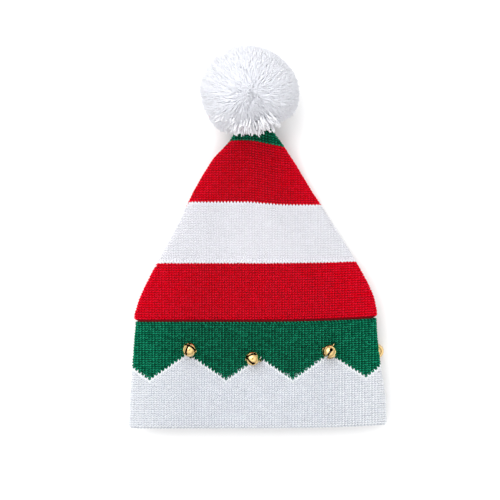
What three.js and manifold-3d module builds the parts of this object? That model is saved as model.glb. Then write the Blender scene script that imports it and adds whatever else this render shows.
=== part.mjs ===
// A knitted elf hat lying on its back: a striped crown, a turned-up cuff with a zigzag border,
// a yarn pompom on the tip and seven jingle bells sewn round the cuff, each with its loose ball.
// Millimetres. +X runs across the hat, +Y from the hem to the pompom, +Z up from the table.
// The origin is under the middle of the whole hat, on the table.
import * as THREE from "three";
import { mergeVertices } from "three/addons/utils/BufferGeometryUtils.js";
import Module from "manifold-3d";

const wasm = await Module();
wasm.setup();

// Driving dimensions of the knitted body.
const CUFF_HEIGHT = 95.9; // hem to the cuff's free edge
const CROWN_RISE = 192.1; // the cuff's free edge to the gathered tip
const HEM_WIDTH = 231.8; // laid flat, across the hem
const CROWN_WIDTH = 217.8; // laid flat, just above the cuff
const LOFT = 22; // front to back over the cuff, with the air inside
const KNIT_WALL = 2.2; // one layer of knitting
const SEAT_GAP = 0.3; // clearance between pieces that touch
const FLOOR_PRESS = 0.4; // how far the back would reach below the table that flattens it
const TUCK_RUN = 2.6; // length over which the crown comes out of the cuff
const HEM_LIP = 4.2; // height of the cuff's turned-in foot, under the crown's edge
const HEM_SLANT = 3.3; // how much further up the hat its right edge lies than its left one
const SLANT_FADE = 100; // length above the cuff over which the slant dies away
const EDGE_ROUND = 1.2; // rounding of the cuff's free edge

// Driving dimensions of the pompom.
const POMPOM_DIAMETER = 88;
const POMPOM_LENGTH = 84; // along the hat, where it is trimmed a little flatter
const POMPOM_CENTRE_HEIGHT = 40; // above the table, which flattens its underside
const POMPOM_PAST_TIP = 13; // the pompom's centre past the gathered tip
const LOCK_COUNT = 42;
const LOCK_GIRTH_SHARE = 0.48; // radius of a lock, as a share of the spacing of the locks
const SHORTEST_LOCK_SHARE = 0.94; // reach of the shortest lock
const CORE_SHARE = 0.86; // radius of the core that the locks stand on

// Driving dimensions of a bell.
const BELL_DIAMETER = 13;
const BELL_WALL = 0.6;
const BELL_SIDES = 12;
const SLOT_WIDTH = 1.3;
const SLOT_EYE = 2.6; // round hole at each end of a slot
const EYE_DROP_SHARE = 0.22; // how far the eyes lie below the bell's middle, in radii
const LOOP_DIAMETER = 3.8; // wire centre to wire centre
const LOOP_STAND_SHARE = 0.36; // how far the loop's middle stands off the dome, in loop diameters
const LOOP_WIRE = 1;
const LOOP_SLACK = 0.6; // loop to the cuff, spanned by the sewing thread
const PELLET_DIAMETER = 4.5;
const PELLET_PLAY = 0.5; // ball to the inside of its bell

// Sections of the cuff, from the hem up. up: share of the cuff's height. flare: 0 is the crown's
// width and 1 the hem's. lean: middle of the section, as a share of the crown's width.
// loft: share of LOFT. bells: how much of the bells' height the back is held up by.
const CUFF_SECTIONS = [
  { up: 0.0, flare: 1.0, lean: 0.0, loft: 0.95, bells: 0.75 },
  { up: 0.25, flare: 0.84, lean: -0.001, loft: 1.0, bells: 0.9 },
  { up: 0.58, flare: 0.33, lean: -0.006, loft: 1.0, bells: 1.0 },
  { up: 0.82, flare: 0.02, lean: -0.008, loft: 1.0, bells: 1.0 },
  { up: 1.0, flare: -0.14, lean: -0.007, loft: 0.98, bells: 0.95 },
];
const CUFF_SQUARE = 5;

// Sections of the crown above the cuff. up: share of the crown's rise. half: share of half the
// crown's width. square: exponent of the section's rounded outline, 2 for an ellipse.
// hang: how much of the pompom's height the back is held up by.
const CROWN_SECTIONS = [
  { up: 0.016, half: 0.999, lean: -0.009, loft: 0.97, square: 5.0, bells: 0.91, hang: 0 },
  { up: 0.091, half: 0.973, lean: -0.006, loft: 0.97, square: 5.0, bells: 0.79, hang: 0 },
  { up: 0.166, half: 0.919, lean: -0.005, loft: 0.95, square: 5.0, bells: 0.66, hang: 0 },
  { up: 0.316, half: 0.781, lean: -0.006, loft: 0.92, square: 4.6, bells: 0.36, hang: 0 },
  { up: 0.466, half: 0.632, lean: -0.01, loft: 0.86, square: 4.2, bells: 0.05, hang: 0 },
  { up: 0.541, half: 0.562, lean: -0.015, loft: 0.83, square: 4.0, bells: 0, hang: 0 },
  { up: 0.616, half: 0.486, lean: -0.021, loft: 0.81, square: 3.8, bells: 0, hang: 0 },
  { up: 0.691, half: 0.409, lean: -0.022, loft: 0.8, square: 3.5, bells: 0, hang: 0.02 },
  { up: 0.766, half: 0.324, lean: -0.021, loft: 0.78, square: 3.2, bells: 0, hang: 0.12 },
  { up: 0.841, half: 0.216, lean: -0.012, loft: 0.73, square: 2.8, bells: 0, hang: 0.32 },
  { up: 0.897, half: 0.147, lean: -0.014, loft: 0.66, square: 2.5, bells: 0, hang: 0.47 },
  { up: 0.953, half: 0.083, lean: -0.022, loft: 0.54, square: 2.2, bells: 0, hang: 0.6 },
  { up: 1.0, half: 0.034, lean: -0.026, loft: 0.32, square: 2.0, bells: 0, hang: 0.7 },
];

// The soft valley down the crown's front, in shares of the crown's width and rise.
const VALLEY = { across: 0.018, width: 0.06, from: 0.3, to: 0.86 };
const VALLEY_DEPTH = 2;

// Where each bell is sewn and how it has come to lie. across: share of the cuff's half width there,
// from its middle. up: share of the cuff's height. turn: where its loop points, in degrees from +X.
// dip: how far the loop points down into the cuff. roll: the cross of slots about the bell's axis.
const BELLS = [
  { name: "front_left", side: "front", across: -0.540, up: 0.747, turn: -80, dip: 50, roll: 45 },
  { name: "front_middle", side: "front", across: -0.030, up: 0.665, turn: -12, dip: 38, roll: 30 },
  { name: "front_right", side: "front", across: 0.596, up: 0.727, turn: 59, dip: 36, roll: 60 },
  { name: "side_right", side: "back", across: 0.996, up: 0.713, turn: 157, roll: 0 },
  { name: "side_left", side: "back", across: -0.881, up: 0.72, turn: 40, roll: 10 },
  { name: "back_right", side: "back", across: 0.315, up: 0.71, turn: 80, roll: 45 },
  { name: "back_left", side: "back", across: -0.273, up: 0.72, turn: 105, roll: 15 },
];

const yarnRed = new THREE.MeshStandardMaterial({ color: 0xc0061e, roughness: 0.95, metalness: 0 });
const yarnGreen = new THREE.MeshStandardMaterial({ color: 0x08583e, roughness: 0.95, metalness: 0 });
const yarnWhite = new THREE.MeshStandardMaterial({ color: 0xe9ebef, roughness: 1, metalness: 0 });
const goldPlate = new THREE.MeshStandardMaterial({ color: 0xd7af5f, roughness: 0.25, metalness: 1 });
const steelBall = new THREE.MeshStandardMaterial({ color: 0x9a9a9a, roughness: 0.35, metalness: 1 });

const hatLength = CUFF_HEIGHT + CROWN_RISE;
const bellRadius = BELL_DIAMETER / 2;
const bellLift = BELL_DIAMETER + SEAT_GAP + FLOOR_PRESS;

// Both tables as one list of sections in millimetres.
const sections = [
  ...CUFF_SECTIONS.map((s) => ({
    y: s.up * CUFF_HEIGHT,
    half: (CROWN_WIDTH + (HEM_WIDTH - CROWN_WIDTH) * s.flare) / 2,
    middle: s.lean * CROWN_WIDTH,
    depth: (s.loft * LOFT) / 2,
    square: CUFF_SQUARE,
    lift: s.bells * bellLift - FLOOR_PRESS,
  })),
  ...CROWN_SECTIONS.map((s) => ({
    y: CUFF_HEIGHT + s.up * CROWN_RISE,
    half: (s.half * CROWN_WIDTH) / 2,
    middle: s.lean * CROWN_WIDTH,
    depth: (s.loft * LOFT) / 2,
    square: s.square,
    lift: s.bells * bellLift + s.hang * POMPOM_CENTRE_HEIGHT - FLOOR_PRESS,
  })),
];

// A monotone cubic through one column of the sections: it never overshoots a row.
function column(name, y) {
  const last = sections.length - 1;
  let row = 0;
  while (row < last - 1 && y > sections[row + 1].y) row += 1;
  const slope = (k) =>
    (sections[k + 1][name] - sections[k][name]) / (sections[k + 1].y - sections[k].y);
  const tangent = (k) => {
    if (k === 0) return slope(0);
    if (k === last) return slope(last - 1);
    const product = slope(k - 1) * slope(k);
    return product <= 0 ? 0 : (2 * product) / (slope(k - 1) + slope(k));
  };
  const span = sections[row + 1].y - sections[row].y;
  const t = THREE.MathUtils.clamp((y - sections[row].y) / span, 0, 1);
  const start = sections[row][name];
  const end = sections[row + 1][name];
  const eased = t * t * (3 - 2 * t);
  return (
    start + (end - start) * eased +
    span * t * (1 - t) * ((1 - t) * tangent(row) - t * tangent(row + 1))
  );
}

// Depth of the valley at a point of the crown's front.
function valley(x, y) {
  const up = (y - CUFF_HEIGHT) / CROWN_RISE;
  const along = THREE.MathUtils.clamp((up - VALLEY.from) / (VALLEY.to - VALLEY.from), 0, 1);
  const off = (x / CROWN_WIDTH - VALLEY.across) / VALLEY.width;
  return VALLEY_DEPTH * Math.sin(Math.PI * along) ** 2 * Math.exp(-off * off);
}

// How far the hat's right side is pushed up its length.
function slant(across, y) {
  const fade = THREE.MathUtils.smoothstep(y, CUFF_HEIGHT, CUFF_HEIGHT + SLANT_FADE);
  return HEM_SLANT * Math.max(across, 0) ** 2 * (1 - fade);
}

// A point of the hat's skin. across runs from -1 to 1 over the section's half width, face is 1 on
// the front and -1 on the back, and inset is the distance inside the outermost surface.
function skinPoint(y, across, face, inset) {
  const square = column("square", y);
  const bulge = (1 - Math.abs(across) ** square) ** (1 / square);
  const depth = column("depth", y);
  const x = column("middle", y) + across * (column("half", y) - inset);
  let z = column("lift", y) + depth + face * bulge * (depth - inset);
  if (face > 0) z -= bulge * valley(x, y);
  return new THREE.Vector3(x, y + slant(across, y), Math.max(z, 0));
}

// Shares across a section, closer together towards its folded sides.
const QUARTER = 10;
const SIDE_CROWDING = 1.7;
const shares = Array.from({ length: QUARTER + 1 }, (_, k) => 1 - (1 - k / QUARTER) ** SIDE_CROWDING);

// One closed ring of points round the hat: underneath from +X to -X, then back over the front.
function ring(y, inset) {
  const back = [...shares.slice(1).reverse(), ...shares.map((share) => -share)];
  const front = back.slice(1, -1).map((share) => -share);
  return [
    ...back.map((across) => skinPoint(y, across, -1, inset)),
    ...front.map((across) => skinPoint(y, across, 1, inset)),
  ];
}

// The solid between rings of equal length. Joined, the last ring meets the first one. Otherwise
// both ends are closed by a fan of triangles to a point.
function loft(rings, joined, startPoint, endPoint) {
  const size = rings[0].length;
  const points = rings.flat();
  const faces = [];
  const strips = joined ? rings.length : rings.length - 1;
  for (let i = 0; i < strips; i += 1) {
    const here = i * size;
    const next = ((i + 1) % rings.length) * size;
    for (let j = 0; j < size; j += 1) {
      const k = (j + 1) % size;
      faces.push(here + j, here + k, next + j);
      faces.push(next + j, here + k, next + k);
    }
  }
  if (!joined) {
    const lastRing = (rings.length - 1) * size;
    const start = points.push(startPoint) - 1;
    const end = points.push(endPoint) - 1;
    for (let j = 0; j < size; j += 1) {
      const k = (j + 1) % size;
      faces.push(start, k, j);
      faces.push(end, lastRing + j, lastRing + k);
    }
  }
  const geometry = new THREE.BufferGeometry().setFromPoints(points);
  geometry.setIndex(faces);
  return geometry;
}

// A geometry as a solid that can be joined and cut.
function solid(geometry) {
  const bare = geometry.clone();
  bare.deleteAttribute("normal");
  bare.deleteAttribute("uv");
  const merged = mergeVertices(bare, 1e-4);
  return new wasm.Manifold(
    new wasm.Mesh({
      numProp: 3,
      vertProperties: merged.attributes.position.array,
      triVerts: new Uint32Array(merged.index.array),
    }),
  );
}

function geometryOf(made) {
  const mesh = made.getMesh();
  const geometry = new THREE.BufferGeometry();
  geometry.setAttribute("position", new THREE.BufferAttribute(mesh.vertProperties, 3));
  geometry.setIndex(new THREE.BufferAttribute(mesh.triVerts, 1));
  return geometry;
}

function piece(name, geometry, material) {
  const mesh = new THREE.Mesh(geometry, material);
  mesh.name = name;
  return mesh;
}

const middleOf = (points) =>
  points.reduce((sum, p) => sum.add(p), new THREE.Vector3()).divideScalar(points.length);

// Heights that the crown and the cuff share, so that the gap between them stays even.
const sharedHeights = CUFF_SECTIONS.slice(1, -1).map((s) => s.up * CUFF_HEIGHT);
const TUCK_ROWS = [0.35, 0.65, 1]; // shares of the tuck
const CROWN_ROWS = [
  0.09, 0.166, 0.25, 0.33, 0.42, 0.5, 0.58, 0.66, 0.73, 0.79, 0.841, 0.897, 0.953, 1,
]; // shares of the crown's rise
const crownEdge = HEM_LIP + SEAT_GAP;
const crownHeights = [
  crownEdge,
  ...sharedHeights,
  CUFF_HEIGHT,
  ...TUCK_ROWS.map((share) => CUFF_HEIGHT + share * TUCK_RUN),
  ...CROWN_ROWS.map((up) => CUFF_HEIGHT + up * CROWN_RISE),
];

// How deep the crown's outer face lies: behind the cuff up to its free edge, then proud.
function crownInset(y) {
  const out = THREE.MathUtils.smoothstep(y, CUFF_HEIGHT, CUFF_HEIGHT + TUCK_RUN);
  return (KNIT_WALL + SEAT_GAP) * (1 - out);
}

// The crown: one layer of knitting from its edge inside the cuff to the gathered tip.
function makeCrown() {
  const outside = crownHeights.map((y) => ring(y, crownInset(y)));
  const inside = crownHeights
    .filter((y, k) => y < hatLength && (y <= CUFF_HEIGHT + TUCK_RUN || k % 2 === 1))
    .map((y) => ring(y, crownInset(y) + KNIT_WALL));
  const rings = [...inside.reverse(), ...outside];
  const innerTip = middleOf(rings[0]).setY(hatLength - KNIT_WALL);
  const outerTip = middleOf(rings.at(-1)).setY(hatLength + KNIT_WALL / 2);
  return piece("crown", loft(rings, false, innerTip, outerTip), yarnRed);
}

// The cuff: a band of its own, turned up from the hem, where its foot folds in under the crown.
function makeCuff() {
  const fold = KNIT_WALL + SEAT_GAP / 2; // radius of the fold round the hem
  const foldAngles = [0.25, 0.5, 0.75].map((turn) => turn * Math.PI);
  const profile = [
    { inset: KNIT_WALL, y: CUFF_HEIGHT - EDGE_ROUND / 2 },
    ...sharedHeights.toReversed().map((y) => ({ inset: KNIT_WALL, y })),
    { inset: KNIT_WALL, y: HEM_LIP },
    { inset: 2 * fold, y: HEM_LIP },
    { inset: 2 * fold, y: fold },
    ...foldAngles.map((a) => ({
      inset: fold * (1 + Math.cos(a)),
      y: fold * (1 - Math.sin(a)),
    })),
    { inset: 0, y: fold },
    ...sharedHeights.map((y) => ({ inset: 0, y })),
    { inset: 0, y: CUFF_HEIGHT - EDGE_ROUND },
    { inset: EDGE_ROUND / 2, y: CUFF_HEIGHT },
    { inset: KNIT_WALL - EDGE_ROUND / 2, y: CUFF_HEIGHT },
  ];
  const rings = profile.map((p) => ring(p.y, p.inset));
  return piece("cuff", loft(rings, true), yarnGreen);
}

// The pompom's centre, past the tip that it is tied to, and how its round shape is flattened.
const pompomCentre = new THREE.Vector3(
  column("middle", hatLength) - SEAT_GAP,
  hatLength + POMPOM_PAST_TIP,
  POMPOM_CENTRE_HEIGHT,
);
const pompomStretch = new THREE.Vector3(1, POMPOM_LENGTH / POMPOM_DIAMETER, 1);

// A repeatable number from 0 to 1 for each lock.
const scatter = (k) => Math.abs(Math.sin(k * 12.9898) * 43758.5453) % 1;

// One blunt lock of yarn, which spreads outwards from the core.
const LOCK_SIDES = 5;
const LOCK_DOME = 0.2; // height of a lock's rounded end, as a share of its girth
const LOCK_RINGS = [
  { along: 0.7, girth: 0.7 },
  { along: 0.92, girth: 1.0 },
  { along: 0.98, girth: 0.62 },
];
function lock(direction, reach, girth, twist) {
  const turn = new THREE.Quaternion().setFromUnitVectors(new THREE.Vector3(0, 0, 1), direction);
  const rings = LOCK_RINGS.map((row) =>
    Array.from({ length: LOCK_SIDES }, (_, side) => {
      const angle = twist + (side / LOCK_SIDES) * 2 * Math.PI;
      const out = girth * row.girth;
      return new THREE.Vector3(out * Math.cos(angle), out * Math.sin(angle), reach * row.along)
        .applyQuaternion(turn)
        .multiply(pompomStretch)
        .add(pompomCentre);
    }),
  );
  const dome = direction.clone().multiplyScalar(LOCK_DOME * girth);
  return solid(loft(rings, false, middleOf(rings[0]), middleOf(rings.at(-1)).add(dome)));
}

// The pompom: locks spread evenly round a core, joined, then cut by the crown's tip and the table.
function makePompom() {
  const radius = POMPOM_DIAMETER / 2;
  const goldenTurn = Math.PI * (3 - Math.sqrt(5));
  const girth = LOCK_GIRTH_SHARE * radius * Math.sqrt((4 * Math.PI) / LOCK_COUNT);
  const core = new THREE.IcosahedronGeometry(radius * CORE_SHARE, 1);
  core.scale(...pompomStretch.toArray());
  core.translate(...pompomCentre.toArray());
  let body = solid(core);
  for (let k = 0; k < LOCK_COUNT; k += 1) {
    const height = 1 - (2 * k + 1) / LOCK_COUNT;
    const out = Math.sqrt(1 - height * height);
    const angle = k * goldenTurn;
    const direction = new THREE.Vector3(out * Math.cos(angle), height, out * Math.sin(angle));
    const reach = radius * THREE.MathUtils.lerp(SHORTEST_LOCK_SHARE, 1, scatter(k));
    body = body.add(lock(direction, reach, girth, angle));
  }
  const hidden = crownHeights.filter((y) => y > pompomCentre.y - POMPOM_DIAMETER);
  const pocketRings = hidden.map((y) => ring(y, -SEAT_GAP));
  const pocketStart = middleOf(pocketRings[0]);
  const pocketEnd = middleOf(pocketRings.at(-1)).setY(hatLength + KNIT_WALL / 2 + SEAT_GAP);
  body = body.subtract(solid(loft(pocketRings, false, pocketStart, pocketEnd)));
  const table = new THREE.BoxGeometry(2 * POMPOM_DIAMETER, 2 * POMPOM_DIAMETER, radius);
  table.translate(pompomCentre.x, pompomCentre.y, -radius / 2);
  return piece("pompom", geometryOf(body.subtract(solid(table))), yarnWhite);
}

const loopCentre = bellRadius + LOOP_STAND_SHARE * LOOP_DIAMETER;
const loopReach = loopCentre + LOOP_DIAMETER / 2; // bell's centre to the loop's outer wire

// A bell about its own centre: loop up +Z, and a cross of slots from its foot to its waist.
const OUTER_RINGS = 7;
const INNER_RINGS = 5;
function makeBellShell() {
  const inner = bellRadius - BELL_WALL;
  const outside = solid(new THREE.SphereGeometry(bellRadius, BELL_SIDES, OUTER_RINGS));
  const inside = solid(new THREE.SphereGeometry(inner, BELL_SIDES, INNER_RINGS));
  const loop = new THREE.TorusGeometry(LOOP_DIAMETER / 2, LOOP_WIRE / 2, 5, 8);
  loop.rotateX(Math.PI / 2);
  loop.translate(0, 0, loopCentre);
  let shell = outside.add(solid(loop)).subtract(inside);
  const eyeHeight = -EYE_DROP_SHARE * bellRadius;
  const through = BELL_DIAMETER + 2 * BELL_WALL; // long enough to cut both sides
  for (const quarter of [0, Math.PI / 2]) {
    const slot = new THREE.BoxGeometry(SLOT_WIDTH, through, BELL_DIAMETER);
    slot.translate(0, 0, eyeHeight - bellRadius);
    slot.rotateZ(quarter);
    const eyes = new THREE.CylinderGeometry(SLOT_EYE / 2, SLOT_EYE / 2, through, 6);
    eyes.translate(0, 0, eyeHeight);
    eyes.rotateZ(quarter);
    shell = shell.subtract(solid(slot)).subtract(solid(eyes));
  }
  return geometryOf(shell);
}

// Height of the hat's front or back above the table, at a place across and along it.
function clothHeight(x, y, face) {
  const across = (x - column("middle", y)) / column("half", y);
  return skinPoint(y, THREE.MathUtils.clamp(across, -1, 1), face, 0).z;
}

// A front bell rests on the cuff. A back bell lies on the table, its loop up against the cuff,
// and how steeply that loop rises is found step by step.
const RISE_STEPS = 8;
const STEEPEST_RISE = 0.95;
function poseOf(bell) {
  const y = bell.up * CUFF_HEIGHT;
  const x = column("middle", y) + bell.across * column("half", y);
  const turn = THREE.MathUtils.degToRad(bell.turn);
  let rise;
  let centreHeight;
  if (bell.side === "front") {
    rise = -Math.sin(THREE.MathUtils.degToRad(bell.dip));
    const loopBelow = loopReach * Math.abs(rise) + LOOP_WIRE / 2 + LOOP_SLACK;
    centreHeight = clothHeight(x, y, 1) + Math.max(bellRadius + SEAT_GAP, loopBelow);
  } else {
    rise = 0;
    centreHeight = bellRadius;
    for (let step = 0; step < RISE_STEPS; step += 1) {
      const out = loopReach * Math.sqrt(1 - rise * rise);
      const cloth = clothHeight(x + out * Math.cos(turn), y + out * Math.sin(turn), -1);
      const room = cloth - LOOP_SLACK - LOOP_WIRE / 2 - centreHeight;
      rise = Math.min(room / loopReach, STEEPEST_RISE);
    }
  }
  const level = Math.sqrt(1 - rise * rise);
  const axis = new THREE.Vector3(level * Math.cos(turn), level * Math.sin(turn), rise);
  return { centre: new THREE.Vector3(x, y, centreHeight), axis };
}

// The bells and the ball that lies at the bottom of each.
function makeBells() {
  const shell = makeBellShell();
  const ball = new THREE.SphereGeometry(PELLET_DIAMETER / 2, 10, 4);
  const ballDrop = bellRadius - BELL_WALL - PELLET_DIAMETER / 2 - PELLET_PLAY;
  return BELLS.flatMap((bell) => {
    const { centre, axis } = poseOf(bell);
    const body = piece("bell_" + bell.name, shell, goldPlate);
    body.position.copy(centre);
    body.quaternion.setFromUnitVectors(new THREE.Vector3(0, 0, 1), axis);
    body.rotateZ(THREE.MathUtils.degToRad(bell.roll));
    const pellet = piece("pellet_" + bell.name, ball, steelBall);
    pellet.position.copy(centre);
    pellet.position.z -= ballDrop;
    return [body, pellet];
  });
}

// The hat, moved so that the origin lies under the middle of it.
const hat = new THREE.Group();
hat.add(makeCrown(), makeCuff(), makePompom(), ...makeBells());
hat.updateMatrixWorld(true);
const extent = new THREE.Box3().setFromObject(hat, true);
const middle = extent.getCenter(new THREE.Vector3());
hat.position.set(-middle.x, -middle.y, -extent.min.z);

const part = new THREE.Group();
part.add(hat);

export default part;
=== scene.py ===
# %% [markdown]
# # A knitted elf hat
# The hat lies on its back on a white table and is seen from straight above. It is a machine-knitted
# tube with a seam down each side, a turned-up cuff with a zigzag border, a cut-yarn pompom and seven
# jingle bells. The solids of the hat are loaded first, as a fixed frame. Everything that follows is
# placed by them: real stitches over the smooth walls, real strands over the pompom's lumps.

# %% Open the frame
import math

import bpy
import numpy as np
from mathutils import Matrix, Vector


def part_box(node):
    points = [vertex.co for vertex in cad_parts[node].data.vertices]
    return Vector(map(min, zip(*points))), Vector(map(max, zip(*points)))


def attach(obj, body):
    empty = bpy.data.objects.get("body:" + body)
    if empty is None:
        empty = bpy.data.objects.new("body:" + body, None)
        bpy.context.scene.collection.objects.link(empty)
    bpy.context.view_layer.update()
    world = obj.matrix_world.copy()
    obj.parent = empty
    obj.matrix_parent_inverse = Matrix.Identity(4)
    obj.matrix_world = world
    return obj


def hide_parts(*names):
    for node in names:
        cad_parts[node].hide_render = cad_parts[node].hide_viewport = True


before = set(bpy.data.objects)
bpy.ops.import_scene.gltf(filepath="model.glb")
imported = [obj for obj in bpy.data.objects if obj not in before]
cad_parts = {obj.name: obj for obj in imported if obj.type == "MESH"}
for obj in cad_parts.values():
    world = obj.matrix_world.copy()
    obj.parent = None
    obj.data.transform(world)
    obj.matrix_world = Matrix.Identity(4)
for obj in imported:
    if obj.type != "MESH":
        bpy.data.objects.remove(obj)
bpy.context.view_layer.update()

# %% [markdown]
# ## The shape of the cloth
# The cloth has to follow the same shape as the solids, so the sizes and the two short tables of
# sections are repeated here, in millimetres. A hat lying flat is a very flat oval in section: nearly
# level across the middle, with tight turns at the two sides.

# %% Sizes of the knitted body, in millimetres
MM = 0.001
CUFF_HEIGHT = 95.9
CROWN_RISE = 192.1
HEM_WIDTH = 231.8
CROWN_WIDTH = 217.8
LOFT = 22
KNIT_WALL = 2.2
SEAT_GAP = 0.3
FLOOR_PRESS = 0.4
TUCK_RUN = 2.6
HEM_LIP = 4.2
HEM_SLANT = 3.3
SLANT_FADE = 100
POMPOM_DIAMETER = 88
POMPOM_LENGTH = 84
POMPOM_CENTRE_HEIGHT = 40
POMPOM_PAST_TIP = 13
BELL_DIAMETER = 13
BELL_WALL = 0.6
SLOT_WIDTH = 1.3
SLOT_EYE = 2.6
SLOT_ROLL = 0.5  # the slots' edges are rolled in and look this much wider
EYE_DROP_SHARE = 0.22
LOOP_DIAMETER = 3.8
LOOP_STAND_SHARE = 0.36
LOOP_WIRE = 1
LOOP_SLACK = 0.6
HAT_LENGTH = CUFF_HEIGHT + CROWN_RISE
BELL_LIFT = BELL_DIAMETER + SEAT_GAP + FLOOR_PRESS

# %% Sections of the cuff: up, flare, lean, loft, bells
CUFF_SQUARE = 5
CUFF_SECTIONS = [
    (0.0, 1.0, 0.0, 0.95, 0.75),
    (0.25, 0.84, -0.001, 1.0, 0.9),
    (0.58, 0.33, -0.006, 1.0, 1.0),
    (0.82, 0.02, -0.008, 1.0, 1.0),
    (1.0, -0.14, -0.007, 0.98, 0.95),
]

# %% Sections of the crown: up, half, lean, loft, square, bells, hang
CROWN_SECTIONS = [
    (0.016, 0.999, -0.009, 0.97, 5.0, 0.91, 0),
    (0.091, 0.973, -0.006, 0.97, 5.0, 0.79, 0),
    (0.166, 0.919, -0.005, 0.95, 5.0, 0.66, 0),
    (0.316, 0.781, -0.006, 0.92, 4.6, 0.36, 0),
    (0.466, 0.632, -0.01, 0.86, 4.2, 0.05, 0),
    (0.541, 0.562, -0.015, 0.83, 4.0, 0, 0),
    (0.616, 0.486, -0.021, 0.81, 3.8, 0, 0),
    (0.691, 0.409, -0.022, 0.8, 3.5, 0, 0.02),
    (0.766, 0.324, -0.021, 0.78, 3.2, 0, 0.12),
    (0.841, 0.216, -0.012, 0.73, 2.8, 0, 0.32),
    (0.897, 0.147, -0.014, 0.66, 2.5, 0, 0.47),
    (0.953, 0.083, -0.022, 0.54, 2.2, 0, 0.6),
    (1.0, 0.034, -0.026, 0.32, 2.0, 0, 0.7),
]

# %% Both tables as columns of one list, and a smooth curve through a column
knots = {name: [] for name in ("y", "half", "middle", "depth", "square", "lift")}


def add_section(**values):
    for name, value in values.items():
        knots[name].append(value)


for up, flare, lean, loft, bells in CUFF_SECTIONS:
    add_section(
        y=up * CUFF_HEIGHT,
        half=(CROWN_WIDTH + (HEM_WIDTH - CROWN_WIDTH) * flare) / 2,
        middle=lean * CROWN_WIDTH,
        depth=loft * LOFT / 2,
        square=CUFF_SQUARE,
        lift=bells * BELL_LIFT - FLOOR_PRESS,
    )
for up, half, lean, loft, square, bells, hang in CROWN_SECTIONS:
    add_section(
        y=CUFF_HEIGHT + up * CROWN_RISE,
        half=half * CROWN_WIDTH / 2,
        middle=lean * CROWN_WIDTH,
        depth=loft * LOFT / 2,
        square=square,
        lift=bells * BELL_LIFT + hang * POMPOM_CENTRE_HEIGHT - FLOOR_PRESS,
    )
knots = {name: np.array(values, float) for name, values in knots.items()}


def column(name, y):
    """A monotone cubic through one column of the sections."""
    place, value = knots["y"], knots[name]
    slope = np.diff(value) / np.diff(place)
    both = slope[:-1] * slope[1:]
    total = np.where(both > 0, slope[:-1] + slope[1:], 1)
    tangent = np.concatenate([slope[:1], np.where(both > 0, 2 * both / total, 0), slope[-1:]])
    row = np.clip(np.searchsorted(place, y) - 1, 0, len(place) - 2)
    span = place[row + 1] - place[row]
    t = np.clip((y - place[row]) / span, 0, 1)
    eased = t * t * (3 - 2 * t)
    sway = span * t * (1 - t) * ((1 - t) * tangent[row] - t * tangent[row + 1])
    return value[row] + (value[row + 1] - value[row]) * eased + sway


print("half width at the cuff's free edge:", round(float(column("half", CUFF_HEIGHT)), 1))

# %% [markdown]
# ## A place on the cloth
# Knitting is measured along the cloth: so many columns of stitches across, so many rows up. So a
# place is given by its distance round the cloth from the middle of the front or of the back, and its
# distance from the hem. A grid holds, for every millimetre of height, how far across and how deep in
# the oval each distance round lies. Points between are blended, so that a whole array of points is
# placed at once, and distances stay true round the tight turns at the sides.

# %% The grid of distances round the oval
ROW_STEP = 1.0
ARC_STEP = 0.5
ARC_REACH = 135
row_heights = np.arange(0, HAT_LENGTH + ROW_STEP, ROW_STEP)
arc_places = np.arange(-ARC_REACH, ARC_REACH + ARC_STEP, ARC_STEP)
TURN_STEPS = 1440
turns = np.linspace(-math.pi, math.pi, TURN_STEPS + 1)
rows = {name: column(name, row_heights) for name in knots if name != "y"}
across_grid = np.zeros((len(row_heights), len(arc_places)))
bulge_grid = np.zeros_like(across_grid)
seam_left = np.zeros(len(row_heights))
seam_right = np.zeros(len(row_heights))
for k in range(len(row_heights)):
    power = rows["square"][k]
    sines, cosines = np.sin(turns), np.cos(turns)
    reach = (np.abs(sines) ** power + np.abs(cosines) ** power) ** (-1 / power)
    u, w = reach * sines, reach * cosines
    run = np.hypot(np.diff(u) * rows["half"][k], np.diff(w) * rows["depth"][k])
    arc = np.concatenate([[0], np.cumsum(run)])
    front = np.abs(turns) <= math.pi / 2
    arc -= np.interp(-rows["middle"][k] / rows["half"][k], u[front], arc[front])
    across_grid[k] = np.interp(arc_places, arc, u)
    bulge_grid[k] = np.interp(arc_places, arc, w)
    seam_left[k] = np.interp(-math.pi / 2, turns, arc)
    seam_right[k] = np.interp(math.pi / 2, turns, arc)
print("cloth across the front at the free edge:", round(seam_right[96] - seam_left[96], 1), "mm")


# %% From a place on the cloth to a point in space
VALLEY = {"across": 0.018, "width": 0.045, "from": 0.3, "to": 0.86, "depth": 3.2}
RIPPLE = 0.5  # height of the soft waves in the cloth
cuff_low, cuff_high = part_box("cuff")
shift = np.array([(cuff_low.x + cuff_high.x) / 2, cuff_low.y, 0]) / MM
TABLE_CLEARANCE = 0.05


def smoothstep(value, low, high):
    t = np.clip((value - low) / (high - low), 0, 1)
    return t * t * (3 - 2 * t)


def at_height(name, y):
    """One size of the oval at each height."""
    return np.interp(y, row_heights, rows[name])


def blend_grid(grid, s, y):
    """Values between the grid's points, for arrays of places."""
    row = np.clip(y / ROW_STEP, 0, len(row_heights) - 1.001)
    place = np.clip((s + ARC_REACH) / ARC_STEP, 0, len(arc_places) - 1.001)
    i, k = row.astype(int), place.astype(int)
    a, b = row - i, place - k
    low = grid[i, k] * (1 - b) + grid[i, k + 1] * b
    high = grid[i + 1, k] * (1 - b) + grid[i + 1, k + 1] * b
    return low * (1 - a) + high * a


def valley(x, y):
    """The soft valley down the crown's front."""
    up = (y - CUFF_HEIGHT) / CROWN_RISE
    along = np.clip((up - VALLEY["from"]) / (VALLEY["to"] - VALLEY["from"]), 0, 1)
    off = (x / CROWN_WIDTH - VALLEY["across"]) / VALLEY["width"]
    return VALLEY["depth"] * np.sin(math.pi * along) ** 2 * np.exp(-off * off)


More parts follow.
